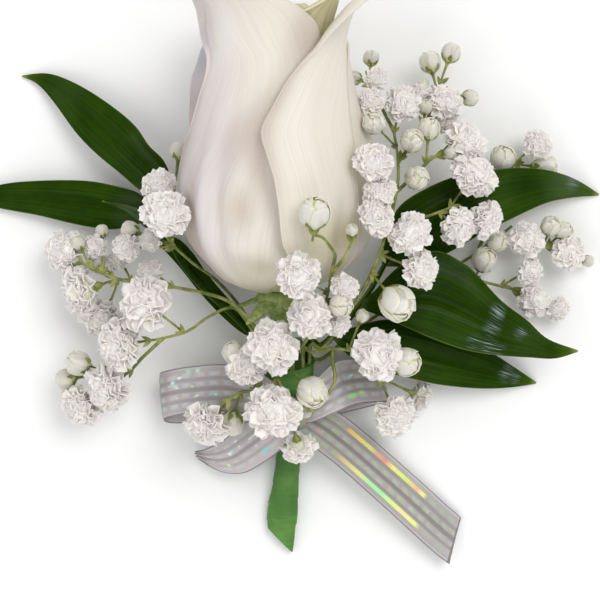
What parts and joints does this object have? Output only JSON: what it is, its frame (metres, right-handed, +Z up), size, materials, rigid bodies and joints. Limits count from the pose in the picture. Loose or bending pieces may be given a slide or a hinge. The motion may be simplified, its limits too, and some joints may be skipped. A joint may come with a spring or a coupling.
{
  "type": "boutonniere",
  "caption": "Boutonniere of a white rose bud with ruscus leaves and sprays of double baby's breath, wrapped in green floral tape and tied with a sheer silver ribbon bow",
  "frame": {"origin": "on the flat spot under the rose's bloom, where it rests on the surface", "axes": "+Z up from the surface the boutonniere lies on, +Y from the cut stem towards the rose, +X towards the three broad leaves"},
  "size_m": [0.1401, 0.1257, 0.0454],
  "materials": {
    "petal": "matte petals, ivory white",
    "stem": "fresh green stem",
    "leaf": "glossy dark green leaf",
    "floret": "matte white petals",
    "ribbon": "sheer silver with iridescent dashes",
    "tape": "matte crepe tape"
  },
  "bodies": {
    "root": {"rose_petals": "petal", "rose_stem_and_calyx": "stem", "ruscus_sprig_left": "leaf", "ruscus_sprig_right": "leaf", "babys_breath_left_low": "floret", "babys_breath_left_middle": "floret", "babys_breath_left_top": "floret", "babys_breath_centre_low": "floret", "babys_breath_centre_top": "floret", "babys_breath_right_low": "floret", "babys_breath_right_top": "floret", "babys_breath_right_back": "floret", "ribbon_bow": "ribbon", "floral_tape": "tape"}
  },
  "joints": []
}
